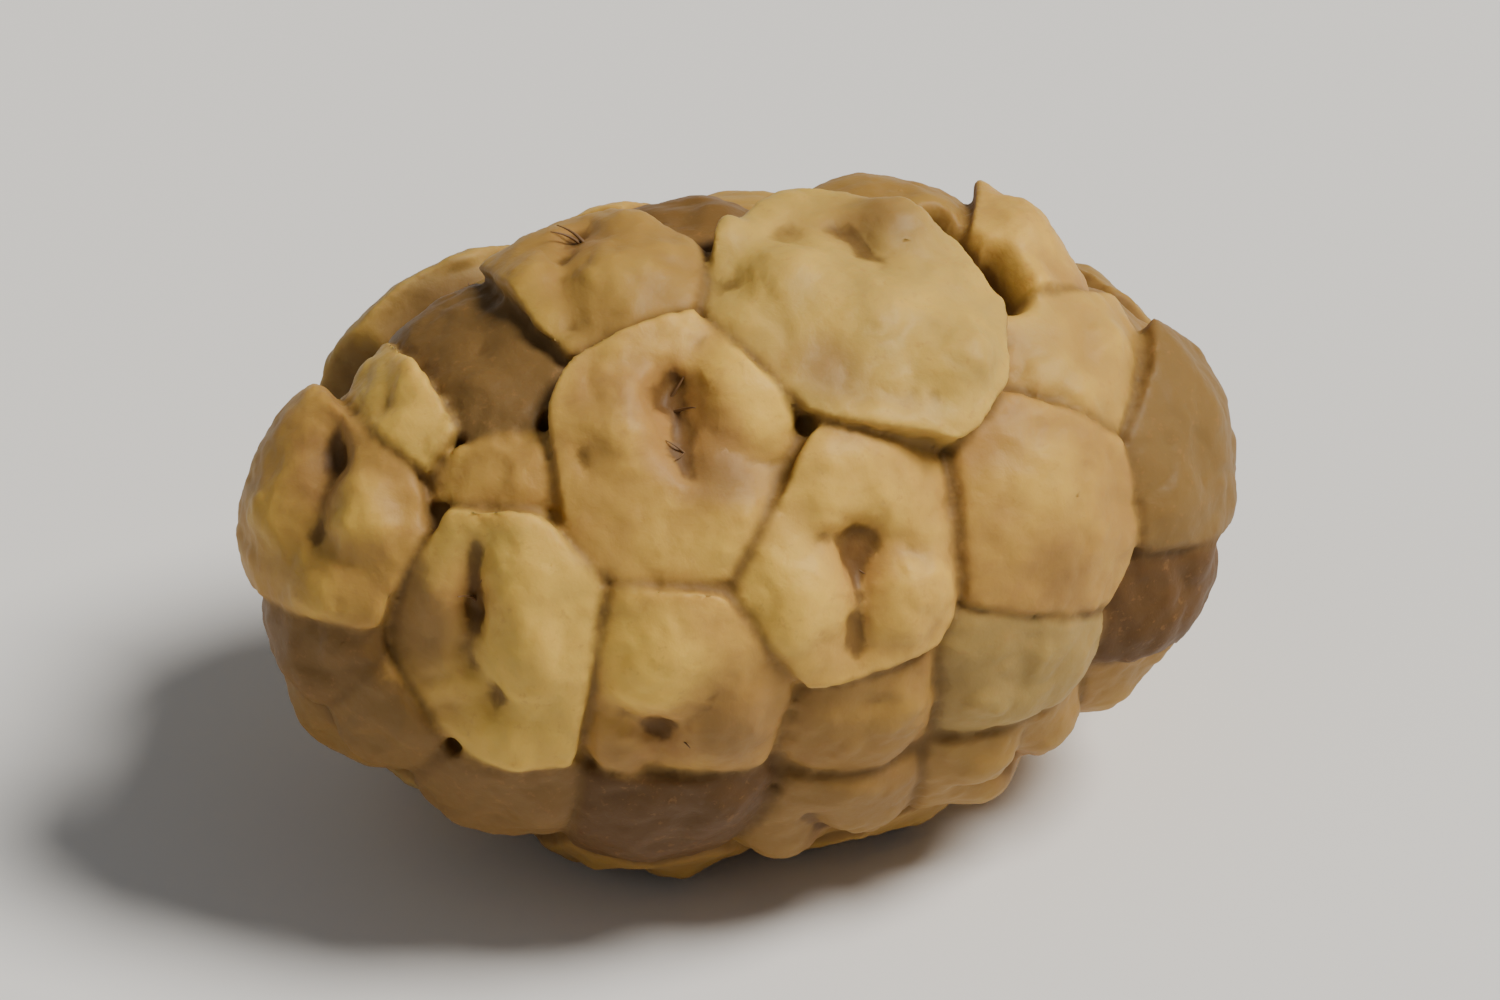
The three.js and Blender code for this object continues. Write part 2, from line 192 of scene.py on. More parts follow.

# How a drupelet's top is cut and puffed, in its half widths. X runs along its slit.
# A cut is a crease from one point to another with its depth. A pit is a point, its
# depth and its reach. A puff is a point, its height and its reach. A tuft is where
# dry stigmas stick out and the skin is stained. A tint is a point, its reach and how
# much paler the skin is there, or browner where it is below 0.
# The tints are partly the skin's own colour and partly painted light and shade: paler tints
# brighten lobes and rims as painted highlights, browner ones paint shade into dents and sides.
FORMS = {
    "cap": {
        "cuts": [((-0.4, 0.15), (0.15, -0.05), 0.05)],
        "puffs": [((-0.25, 0.4), 0.05, 0.5), ((0.4, -0.3), 0.06, 0.55)],
    },
    "cross": {
        "cuts": [
            ((0, 0), (0.75, 0.06), 0.12),
            ((0, 0), (-0.7, -0.05), 0.1),
            ((0, 0), (0.04, 0.55), 0.06),
            ((0, 0), (-0.08, -0.55), 0.08),
        ],
        "pits": [((0, 0), 0.08, 0.25)],
        "puffs": [((0.5, 0.4), 0.07, 0.45), ((-0.46, 0.4), 0.08, 0.45), ((0, -0.6), 0.07, 0.6)],
        "tufts": [(0.05, 0.02)],
    },
    "fork": {
        "cuts": [
            ((0, 0), (0.75, 0), 0.12),
            ((0, 0), (-0.45, 0.5), 0.08),
            ((0, 0), (-0.45, -0.45), 0.09),
        ],
        "pits": [((0.05, 0), 0.08, 0.25)],
        "puffs": [((-0.55, 0), 0.07, 0.5), ((0.3, 0.5), 0.08, 0.5), ((0.3, -0.5), 0.07, 0.5)],
        "tufts": [(0.1, 0.0)],
    },
    "slit": {
        "cuts": [((-0.6, 0.05), (0.6, -0.05), 0.13), ((0, 0), (0.1, 0.5), 0.04)],
        "pits": [((0, 0), 0.08, 0.25)],
        "puffs": [((0.05, 0.5), 0.08, 0.55), ((-0.05, -0.5), 0.09, 0.55)],
        "tufts": [(0.12, 0.0)],
    },
    "pit": {
        "cuts": [
            ((0, 0), (0.7, 0.15), 0.05),
            ((0, 0), (-0.5, 0.5), 0.07),
            ((0, 0), (-0.45, -0.5), 0.06),
        ],
        "pits": [((0, 0), 0.2, 0.3)],
        "puffs": [((0.35, 0.5), 0.07, 0.5), ((0.25, -0.5), 0.06, 0.5)],
        "tufts": [(0.0, 0.04)],
    },
    "tripod": {
        "cuts": [
            ((-0.02, 0.12), (0.8, -0.02), 0.16),
            ((-0.03, 0.08), (-0.08, -0.2), 0.08),
            ((-0.08, -0.2), (-0.37, -0.6), 0.04),
            ((-0.03, 0.12), (0.06, 0.5), 0.08),
            ((0.06, 0.5), (0.24, 0.9), 0.04),
            ((-0.05, 0.12), (-0.36, 0.18), 0.06),
        ],
        "pits": [((0.02, 0.12), 0.12, 0.42), ((0.15, 0.08), 0.05, 0.25)],
        "puffs": [((-0.6, 0.1), 0.08, 0.6), ((0.3, -0.45), 0.12, 0.5), ((0.4, 0.55), 0.1, 0.45)],
        "tufts": [(0.15, 0.08)],
        "tints_and_painted_light": [((-0.5, 0.25), 0.45, 0.3), ((0.65, 0.4), 0.35, -0.2), ((0.3, -0.65), 0.4, 0.8)],
    },
    "well": {
        "cuts": [
            ((-0.62, 0.24), (0.0, -0.05), 0.14),
            ((-0.66, 0.2), (-0.95, 0.3), 0.05),
            ((-0.25, 0.1), (0.38, 0.55), 0.06),
            ((-0.55, 0.32), (-0.85, 0.75), 0.09),
            ((-0.15, -0.15), (-0.45, -0.7), 0.06),
            ((-0.72, 0.15), (-1.1, -0.24), 0.06),
        ],
        "pits": [((-0.5, 0.15), 0.16, 0.24), ((-0.38, 0.08), 0.12, 0.4)],
        "puffs": [((-0.2, 0.72), 0.14, 0.5), ((0.5, 0.0), 0.08, 0.55), ((-0.5, -0.3), 0.06, 0.35)],
        "tufts": [(-0.42, 0.12), (-0.1, 0.05)],
        "tints_and_painted_light": [
            ((-0.2, 0.8), 0.4, 0.9),
            ((0.17, 0.1), 0.3, -0.9),
            ((-0.7, -0.3), 0.45, -0.4),
            ((0.7, -0.25), 0.3, 0.3),
        ],
    },
    "long_slit": {
        "cuts": [
            ((-0.72, -0.02), (-0.3, -0.08), 0.16),
            ((-0.3, -0.08), (0.1, -0.14), 0.12),
            ((0.1, -0.14), (0.3, 0.08), 0.03),
            ((0.32, 0.11), (0.44, -0.4), 0.05),
        ],
        "pits": [((0.32, 0.11), 0.03, 0.2), ((-0.05, -0.65), 0.08, 0.45)],
        "puffs": [
            ((-0.5, 0.42), 0.1, 0.45),
            ((0.05, 0.48), 0.1, 0.45),
            ((-0.35, -0.4), 0.05, 0.3),
            ((0.8, 0.1), 0.08, 0.5),
        ],
        "tufts": [(-0.4, -0.06)],
        "tints_and_painted_light": [((-0.45, 0.5), 0.45, 1.0), ((0.1, 0.6), 0.4, 0.8), ((-0.25, -0.62), 0.45, -1.2)],
    },
    "low_pit": {
        "cuts": [
            ((0.34, -0.18), (-0.02, -0.82), 0.045),
            ((0.34, -0.1), (0.03, 0.38), 0.045),
            ((0.03, 0.38), (-0.1, 0.85), 0.03),
            ((0.36, -0.14), (0.85, -0.16), 0.06),
        ],
        "pits": [((0.36, -0.14), 0.07, 0.26)],
        "puffs": [((-0.35, -0.2), 0.1, 0.6), ((0.3, 0.5), 0.08, 0.45), ((0.6, -0.6), 0.07, 0.4)],
        "tufts": [(0.38, -0.13)],
        "tints_and_painted_light": [
            ((-0.46, -0.3), 0.45, 0.9),
            ((0.33, 0.53), 0.42, -1.2),
            ((0.6, -0.5), 0.35, -0.7),
        ],
    },
    "side_gap": {
        "cuts": [((-0.75, -0.55), (-0.15, -0.8), 0.04)],
        "puffs": [((-0.4, 0.1), 0.12, 0.6), ((0.55, -0.2), 0.08, 0.5)],
        # The paler tint on the lower rim is a painted highlight.
        "tints_and_painted_light": [((0.6, -0.7), 0.4, 1.0), ((-0.55, 0.1), 0.4, -0.2)],
    },
    "plateau": {
        "cuts": [((-0.4, 0.15), (0.15, -0.05), 0.03)],
        "puffs": [((-0.2, 0.0), 0.06, 0.7), ((0.35, 0.2), 0.05, 0.6)],
        "tints_and_painted_light": [((0.45, -0.1), 0.35, -0.7), ((-0.4, -0.2), 0.5, 0.3)],
    },
    "side_lobe": {
        "cuts": [
            ((-0.31, 0.05), (-0.03, -0.9), 0.07),
            ((-0.31, 0.05), (-0.3, 0.75), 0.06),
            ((-0.3, 0.3), (0.2, 0.6), 0.03),
        ],
        "pits": [((-0.23, 0.5), 0.1, 0.35)],
        "puffs": [((0.25, -0.3), 0.09, 0.55), ((-0.65, -0.3), 0.09, 0.45), ((0.2, 0.8), 0.06, 0.4)],
        "tufts": [(-0.25, 0.4)],
        "tints_and_painted_light": [((-0.4, -0.76), 0.35, 0.5), ((-0.13, 0.4), 0.4, -0.3)],
    },
    "folded": {
        "cuts": [
            ((-0.62, 0.52), (0.1, 0.34), 0.07),
            ((-0.62, 0.25), (-0.8, -0.3), 0.05),
            ((0.5, -0.78), (1.0, -0.35), 0.05),
        ],
        "pits": [
            ((-0.25, 0.44), 0.07, 0.35),
            ((-0.62, 0.25), 0.06, 0.25),
            ((-0.75, -0.5), 0.08, 0.3),
            ((0.25, -0.67), 0.05, 0.3),
        ],
        "puffs": [
            ((-0.95, -0.1), 0.14, 0.35),
            ((-0.42, -0.2), 0.12, 0.35),
            ((0.3, -0.05), 0.12, 0.5),
            ((0.88, 0.05), 0.16, 0.4),
            ((-0.1, 0.78), 0.12, 0.4),
        ],
        "tints_and_painted_light": [
            ((-0.9, -0.15), 0.3, 0.7),
            ((-0.45, -0.2), 0.35, 0.7),
            ((0.3, 0.0), 0.45, 0.7),
            ((0.9, 0.05), 0.35, 1.0),
            ((0.25, -0.68), 0.28, -0.7),
            ((-0.19, 0.74), 0.36, -0.9),
        ],
    },
    "dented": {
        "cuts": [
            ((-0.8, 0.56), (-0.45, 0.36), 0.08),
            ((-0.45, 0.36), (0.05, -0.08), 0.11),
            ((0.07, -0.11), (0.1, -0.5), 0.03),
        ],
        "pits": [((-0.5, 0.38), 0.12, 0.36)],
        "puffs": [
            ((0.24, 0.52), 0.13, 0.45),
            ((-0.45, -0.5), 0.08, 0.45),
            ((0.6, -0.35), 0.09, 0.5),
        ],
        "tufts": [(-0.35, 0.28)],
        "tints_and_painted_light": [((-0.45, 0.3), 0.35, -0.9), ((0.25, 0.6), 0.3, 0.4)],
    },
}
STAIN_REACH = 0.42  # round a tuft

# Open gaps between drupelets: along and degrees round of both ends, depth and reach
# in millimetres.
GAPS = [((3.2, 0.0), (3.75, 13.0), 0.5, 0.22), ((3.72, 12.5), (3.8, 19.0), 0.85, 0.36)]
GAP_HEIGHT = 2.5  # within this of the skin, in or out, a place belongs to the gap


def millimetres(name, description, default, least=0):
    """A size that a user can set."""
    return FloatProperty(name=name, description=description + ", mm", default=default, min=least)


def tone(name, description, default):
    """A colour that a user can set."""
    return FloatVectorProperty(
        name=name, description=description, subtype="COLOR", default=default
    )


class MulberryShape(bpy.types.PropertyGroup):
    """Sizes of the fruit, in millimetres."""

    length: millimetres("Length", "Of the skin along the fruit's axis", 15.6, 5)
    width: millimetres("Width", "Of the skin from front to back", 10.8, 3)
    height: millimetres("Height", "Of the skin before it is flattened", 10.6, 3)
    plumpness: FloatProperty(
        name="Plumpness",
        description="How far a drupelet would swell past its own room if its neighbours let it",
        default=1.32,
        min=1,
        max=1.8,
    )
    swell: millimetres("Swell", "Added to that, the same for all", 0.35)
    core_depth: millimetres("Core Depth", "Of the core under the skin round it", 0.48, 0.3)
    seam: millimetres("Seam", "Gap between the walls of two drupelets", 0.04)
    edge: millimetres("Edge Rounding", "How softly a wall turns into its seam", 0.09, 0.02)
    shrivel: millimetres("Shrivel", "Height of the broad dents left by drying", 0.14)
    pucker: millimetres("Pucker", "Height of the puffs between sharp folds", 0.1)
    wrinkle: millimetres("Wrinkle", "Height of the small wrinkles", 0.035)
    grain: millimetres("Mesh Grain", "Edge length of the fused skin", 0.068, 0.04)
    faces: IntProperty(
        name="Most Triangles",
        description="That the fused skin keeps",
        default=190000,
        min=1000,
    )


class MulberryLooks(bpy.types.PropertyGroup):
    """Colours of the fruit and its stalk."""

    golden: tone("Golden", "Of most of the skin", (0.475, 0.27, 0.062))
    # Cream is partly the palest lobes' own colour and partly a painted highlight.
    cream_and_highlight: tone("Cream", "Of the palest lobes", (0.73, 0.455, 0.085))
    olive: tone("Olive", "Of the greener drupelets", (0.29, 0.2, 0.07))
    amber: tone("Amber", "Of the redder drupelets", (0.38, 0.185, 0.06))
    umber: tone("Umber", "Of the browner patches", (0.26, 0.145, 0.045))
    # Seam brown is partly the seams' own colour and partly painted shade, in the seams and on
    # drupelets that neighbours shade.
    seam_and_shade_brown: tone("Seam Brown", "In the seams", (0.15, 0.078, 0.022))
    # Slit brown is partly the dry stigmas' own colour and partly painted shade in slits, pits and
    # gaps.
    slit_and_shade_brown: tone("Slit Brown", "In the slits and pits", (0.095, 0.042, 0.01))
    straw: tone("Straw", "Of the stalk", (0.36, 0.25, 0.11))
    thread: tone("Thread", "Of the dry stigmas", (0.15, 0.07, 0.025))


class SeededRandom:
    """The same draws every time, and the same as the solid's."""

    FACTOR = 48271
    MODULUS = 2147483647

    def __init__(self, seed):
        self.state = seed

    def __call__(self, low=0.0, high=1.0):
        self.state = self.state * self.FACTOR % self.MODULUS
        return low + (high - low) * (self.state / self.MODULUS)


class Drupelet:
    """One drupelet: where its top is on the skin, its sizes, its form and its tint, whose lightness
    is partly painted light and shade.
    """

    def __init__(self, at, width, stretch, turn, rise, form, warmth, light, settled):
        self.at = at
        self.width = width
        self.stretch = stretch
        self.turn = turn
        self.rise = rise
        self.form = form
        self.warmth = warmth
        self.light = light
        self.settled = settled

    def seat(self, skin, lean):
        """Sets the middle of the girth and the turned axes."""
        out = self.at / skin**2
        out = out / np.linalg.norm(out)
        across = np.array([1.0, 0.0, 0.0]) - out[0] * out
        across = across / np.linalg.norm(across)
        around = np.cross(across, out)
        base = np.column_stack([around, across, out])
        self.centre = self.at + out * (self.rise - PILLOW_DEPTH)
        self.axes = base @ turned("X", lean[0]) @ turned("Y", lean[1]) @ turned("Z", self.turn)

    def reach(self, direction):
        """The girth radius towards a direction."""
        x, y, z = self.axes.T @ direction
        radius = self.width / 2
        return radius / math.sqrt((x / self.stretch) ** 2 + y * y + z * z)

    def local(self, points):
        """Points in girth radii and depths, so that its own surface is about 1 from its middle."""
        radius = self.width / 2
        return (points - self.centre) @ self.axes / [radius * self.stretch, radius, PILLOW_DEPTH]


def turned(axis, degrees):
    angle = math.radians(degrees)
    c, s = math.cos(angle), math.sin(angle)
    return {
        "X": np.array([[1, 0, 0], [0, c, -s], [0, s, c]]),
        "Y": np.array([[c, 0, s], [0, 1, 0], [-s, 0, c]]),
        "Z": np.array([[c, -s, 0], [s, c, 0], [0, 0, 1]]),
    }[axis]


def half_sizes(shape):
    return np.array([shape.length, shape.width, shape.height]) / 2


def skin_point(skin, along, around):
    """Where the skin is, by the place along the axis and the degrees round it."""
    angle = math.radians(around)
    girth = math.sqrt(max(0.0, 1 - (along / skin[0]) ** 2))
    return np.array([along, -skin[1] * girth * math.sin(angle), skin[2] * girth * math.cos(angle)])


def fill_skin(skin, drupelets, draw):
    """Adds drupelets one by one where there is most room, until no room is left."""
    while True:
        width = draw(*FILL_WIDTHS)
        tops = np.array([d.at for d in drupelets])
        spans = (width + np.array([d.width for d in drupelets])) / 2
        best, most_room = None, FILL_ROOM
        for _ in range(FILL_TRIES):
            height = draw(-1, 1)
            angle = draw(0, 2 * math.pi)
            girth = math.sqrt(1 - height * height)
            point = np.array([height, girth * math.cos(angle), girth * math.sin(angle)]) * skin
            room = float((np.sqrt(((tops - point) ** 2).sum(axis=1)) / spans).min())
            if room > most_room:
                best, most_room = point, room
        if best is None:
            return
        stretch, turn, rise = draw(*FILL_STRETCHES), draw(0, 180), draw(*FILL_RISES)
        form = FORM_ORDER[len(drupelets) % len(FORM_ORDER)]
        drupelets.append(Drupelet(best, width, stretch, turn, rise, form, 0, 0, False))


def settle(skin, drupelets):
    """Pushes the added drupelets apart until they share the skin evenly."""
    for _ in range(FILL_ROUNDS):
        for drupelet in drupelets:
            if drupelet.settled:
                continue
            push = np.zeros(3)
            for other in drupelets:
                away = drupelet.at - other.at
                distance = math.sqrt(away @ away)
                reach = (drupelet.width + other.width) / 2
                if other is drupelet or distance >= reach:
                    continue
                push += away * (FILL_PUSH * (reach - distance) / distance)
            moved = drupelet.at + push
            drupelet.at = moved / math.sqrt(((moved / skin) ** 2).sum())


def place_drupelets(shape):
    skin = half_sizes(shape)
    draw = SeededRandom(FILL_SEED)
    listed = FRONT_DRUPELETS + SUNKEN_DRUPELETS + LOW_DRUPELETS + FOOT_DRUPELETS
    drupelets = [
        Drupelet(skin_point(skin, along, around), *rest, settled=True)
        for along, around, *rest in listed
    ]
    stalk_end = np.array([skin[0], 0, 0])
    stalk_room = Drupelet(stalk_end, STALK_ROOM, 1, 0, 0, "cap", 0, 0, settled=True)
    drupelets.append(stalk_room)
    fill_skin(skin, drupelets, draw)
    settle(skin, drupelets)
    drupelets.remove(stalk_room)
    for drupelet in drupelets:
        drupelet.seat(skin, (draw(-LEAN, LEAN), draw(-LEAN, LEAN)))
    for drupelet in drupelets:
        if not drupelet.settled:
            drupelet.warmth = draw(*FILL_WARMTHS)
            drupelet.light = draw(*FILL_LIGHTS)
    return drupelets


def deselect_all():
    bpy.ops.object.select_all(action="DESELECT")


def pick(obj):
    """Leaves obj alone selected and active."""
    deselect_all()
    obj.select_set(True)
    bpy.context.view_layer.objects.active = obj


def values_of(items, name, columns, kind=np.float32):
    """What each of a mesh's vertices, edges or polygons has under that name, row by row."""
    values = np.empty(len(items) * columns, dtype=kind)
    items.foreach_get(name, values)
    return values.reshape(-1, columns)


def points_of(mesh):
    return values_of(mesh.vertices, "co", 3).astype(float)


def set_points(mesh, points):
    mesh.vertices.foreach_set("co", points.astype(np.float32).ravel())
    mesh.update()


def select_points(obj, chosen):
    """Selects those vertices and nothing else, for the next edit."""
    mesh = obj.data
    mesh.vertices.foreach_set("select", chosen)
    mesh.edges.foreach_set("select", np.zeros(len(mesh.edges), dtype=bool))
    mesh.polygons.foreach_set("select", np.zeros(len(mesh.polygons), dtype=bool))


def pull(obj, chosen, move, reach, falloff):
    """Moves the chosen vertices, and those within reach of them less and less."""
    select_points(obj, chosen)
    bpy.ops.object.mode_set(mode="EDIT")
    bpy.ops.mesh.select_mode(type="VERT")
    bpy.ops.transform.translate(
        value=move,
        use_proportional_edit=True,
        proportional_edit_falloff=falloff,
        proportional_size=reach,
    )
    bpy.ops.object.mode_set(mode="OBJECT")


def apply_modifier(obj, kind, **settings):
    pick(obj)
    bpy.ops.object.modifier_add(type=kind)
    modifier = obj.modifiers[-1]
    for key, value in settings.items():
        setattr(modifier, key, value)
    bpy.ops.object.modifier_apply(modifier=modifier.name)


def distance_to_cut(flat, start, end):
    start, end = np.array(start, float), np.array(end, float)
    along = end - start
    share = np.clip((flat - start) @ along / (along @ along), 0, 1)
    return np.linalg.norm(flat - (start + share[:, None] * along), axis=1)


def model_drupelet(form, swollen):
    """One drupelet of girth radius 1, its top at +Z, cut and puffed as its form says.

    Swollen is that girth over the girth that the form is drawn for."""
    deselect_all()
    bpy.ops.mesh.primitive_uv_sphere_add(
        segments=MASTER_SEGMENTS, ring_count=MASTER_RINGS, radius=1, location=(0, 0, 0)
    )
    obj = bpy.context.object
    obj.name = "drupelet_" + form
    points = points_of(obj.data)
    girth = np.linalg.norm(points[:, :2], axis=1).clip(0, 1)
    crown = (1 - girth**CROWN_POWER) ** (1 / CROWN_POWER)
    points[:, 2] = np.where(points[:, 2] > 0, crown, points[:, 2])
    set_points(obj.data, points)
    flat, upper = points[:, :2] * swollen, points[:, 2] > 0
    for at, height, reach in FORMS[form]["puffs"]:
        near = np.linalg.norm(flat - at, axis=1) < PUFF_CORE
        move = (at[0] * height * PUFF_SPREAD, at[1] * height * PUFF_SPREAD, height)
        pull(obj, near & upper, move, reach / swollen, "SMOOTH")
    for at, depth, reach in FORMS[form].get("pits", ()):
        near = np.linalg.norm(flat - at, axis=1) < PIT_CORE
        pull(obj, near & upper, (0, 0, -depth), reach / swollen, "SMOOTH")
    for start, end, depth in FORMS[form]["cuts"]:
        near = distance_to_cut(flat, start, end) < CUT_WIDTH
        pull(obj, near & upper, (0, 0, -depth * VALLEY_SHARE), VALLEY_REACH, "SHARP")
        pull(obj, near & upper, (0, 0, -depth * (1 - VALLEY_SHARE)), CREASE_REACH, "SHARP")
    return obj


def walls(drupelet, others):
    """The flat walls that a drupelet shares with its neighbours: direction and distance."""
    found = []
    for other in others:
        towards = other.centre - drupelet.centre
        distance = float(np.linalg.norm(towards))
        if other is drupelet or distance > drupelet.width + other.width:
            continue
        towards = towards / distance
        mine, theirs = drupelet.reach(towards), other.reach(-towards)
        found.append((towards, (distance**2 + mine**2 - theirs**2) / (2 * distance)))
    return found


def press(points, drupelet, others, shape):
    """Keeps a drupelet's points on its own side of the walls it shares with the others."""
    for towards, wall in walls(drupelet, others):
        past = (points - drupelet.centre) @ towards - wall + shape.seam / 2
        kept = -shape.edge * np.logaddexp(0, -past / shape.edge)
        points = points + (kept - past)[:, None] * towards
    return points


def girth_share(width, shape):
    """The swollen girth over the drupelet's own."""
    return shape.plumpness + 2 * shape.swell / width


def place_copy(master, drupelet, others, shape):
    """A copy of a modelled drupelet, sized, dented, pressed against its neighbours and placed."""
    mesh = master.data.copy()
    obj = bpy.data.objects.new("drupelet", mesh)
    bpy.context.collection.objects.link(obj)
    points = points_of(mesh)
    radius = drupelet.width / 2 * girth_share(drupelet.width, shape)
    upper = points[:, 2] > 0
    points[:, 2] *= np.where(upper, PILLOW_DEPTH, ROOT_DEPTH)
    points[:, 0] *= radius * drupelet.stretch
    points[:, 1] *= radius
    points = drupelet.centre + points @ drupelet.axes.T
    set_points(mesh, press(points, drupelet, others, shape))
    return obj


def model_core(shape, drupelets):
    """The core that shows at the bottom of the seams, lower where the drupelets are."""
    deselect_all()
    bpy.ops.mesh.primitive_uv_sphere_add(
        segments=CORE_SEGMENTS, ring_count=CORE_RINGS, radius=1
    )
    core = bpy.context.object
    skin = half_sizes(shape)
    points = points_of(core.data) * skin
    out = points / skin**2
    out /= np.linalg.norm(out, axis=1)[:, None]
    tops = np.array([drupelet.at for drupelet in drupelets])
    rises = np.array([drupelet.rise for drupelet in drupelets])
    away = np.linalg.norm(points[:, None, :] - tops, axis=2)
    near = np.exp(-((away / CORE_BLUR) ** 2))
    level = ((near @ rises) / near.sum(axis=1).clip(1e-9)).clip(*CORE_LEVELS)
    away = np.linalg.norm(points - [skin[0], 0, 0], axis=1) / CORE_HOLLOW_REACH
    hollow = CORE_HOLLOW_DEPTH * np.exp(-(away**2))
    set_points(core.data, points + out * (level - shape.core_depth - hollow)[:, None])
    bpy.ops.mesh.primitive_cone_add(
        vertices=NECK_SIDES,
        radius1=NECK_RADII[0],
        radius2=NECK_RADII[1],
        depth=NECK_LENGTH,
        location=(STALK_SEAT_X - NECK_LENGTH / 2, 0, 0),
        rotation=(0, math.pi / 2, 0),
    )
    neck = bpy.context.object
    bpy.ops.object.transform_apply(location=True, rotation=True, scale=False)
    return [core, neck]


def join(objects, name):
    deselect_all()
    for obj in objects:
        obj.select_set(True)
    bpy.context.view_layer.objects.active = objects[0]
    bpy.ops.object.join()
    objects[0].name = name
    objects[0].data.name = name
    return objects[0]


def finish_piece(obj, material):
    """Brings a piece from the fruit's axis and millimetres to the shared frame, smooth and
    with its material."""
    set_points(obj.data, (points_of(obj.data) + AXIS_PLACE) * MM)
    pick(obj)
    bpy.ops.object.shade_smooth()
    obj.data.materials.clear()
    obj.data.materials.append(material)


def keep_outer_skin(obj):
    """Deletes what is closed off inside the fused skin."""
    points = points_of(obj.data)
    top = np.zeros(len(points), dtype=bool)
    top[points[:, 2].argmax()] = True
    pick(obj)
    select_points(obj, top)
    bpy.ops.object.mode_set(mode="EDIT")
    bpy.ops.mesh.select_mode(type="VERT")
    bpy.ops.mesh.select_linked()
    bpy.ops.mesh.select_all(action="INVERT")
    bpy.ops.mesh.delete(type="VERT")
    bpy.ops.object.mode_set(mode="OBJECT")


def dent(obj, name, size, height, **settings):
    """Raises and sinks the skin by a cloud pattern."""
    pattern = bpy.data.textures.new(name, "CLOUDS")
    pattern.noise_scale = size
    for key, value in settings.items():
        setattr(pattern, key, value)
    apply_modifier(obj, "DISPLACE", texture=pattern, strength=height, mid_level=0.5)
    bpy.data.textures.remove(pattern)


def triangle_count(mesh):
    return int((values_of(mesh.polygons, "loop_total", 1, np.int32) - 2).sum())


def smoothed(points, edges, rounds):
    """Each row, a point or other values, averaged over its neighbours, that many times."""
    count = len(points)
    shares = np.bincount(edges.ravel(), minlength=count).clip(1)
    for _ in range(rounds):
        total = np.empty_like(points)
        for axis in range(points.shape[1]):
            column = points[:, axis]
            total[:, axis] = np.bincount(edges[:, 0], column[edges[:, 1]], count)
            total[:, axis] += np.bincount(edges[:, 1], column[edges[:, 0]], count)
        points = total / shares[:, None]
    return points


def store(mesh, name, values):
    attribute = mesh.attributes.new(name, "FLOAT", "POINT")
    attribute.data.foreach_set("value", values.astype(np.float32))


def gap_shares(points, skin):
    """How much each point is in each gap, from 0 to 1, with the gap's depth and way out."""
    for start, end, depth, reach in GAPS:
        start, end = skin_point(skin, *start), skin_point(skin, *end)
        out = (start + end) / skin**2
        out = out / np.linalg.norm(out)
        height = (points - start) @ out
        flat = points - height[:, None] * out
        end = end - ((end - start) @ out) * out
        away = distance_to_cut(flat, start, end) / reach
        yield np.exp(-(away**4)) * (np.abs(height) < GAP_HEIGHT), depth, out


def open_gaps(points, skin):
    """Sinks the skin where the drupelets stand apart, and round the stalk."""
    sunk = points.copy()
    deepest = np.zeros(len(points))
    for share, depth, out in gap_shares(points, skin):
        step = (share * depth - deepest).clip(0)
        deepest += step
        sunk -= out * step[:, None]
    away = np.linalg.norm(points[:, 1:] - SKIN_HOLLOW_MIDDLE, axis=1) / SKIN_HOLLOW_REACH
    at_end = points[:, 0] > STALK_SEAT_X - 1
    sunk[:, 0] -= SKIN_HOLLOW_DEPTH * np.exp(-(away**4)) * at_end
    return sunk


OWN_SKIN = 1.2  # how far from its middle a drupelet's skin can be, over its width
MOST_DEPTH = 2  # from the seams, stored for the colours
MOST_TINT = 1.3
# Hollows are found by how far the skin is below its own average. The rounds of
# averaging set their size, and the last number is a full hollow's depth.
# The skin is painted darker in the slits and hollows, as painted shade, and paler on the crests, as
# a painted highlight.
HOLLOWS = (("slit", 10, 0.035), ("hollow", 80, 0.3))


def owners(points, drupelets):
    """Whose skin each point is, and how far it is from the nearest seam in millimetres."""
    depth = np.full(len(points), -1.0)
    owner = np.zeros(len(points), dtype=int)
    for i, drupelet in enumerate(drupelets):
        near = np.linalg.norm(points - drupelet.centre, axis=1) < drupelet.width * OWN_SKIN
        spots = np.flatnonzero(near)
        inside = np.full(len(spots), np.inf)
        for towards, wall in walls(drupelet, drupelets):
            inside = np.minimum(inside, wall - (points[spots] - drupelet.centre) @ towards)
        deeper = inside > depth[spots]
        depth[spots[deeper]] = inside[deeper]
        owner[spots[deeper]] = i
    return owner, depth.clip(0, MOST_DEPTH)


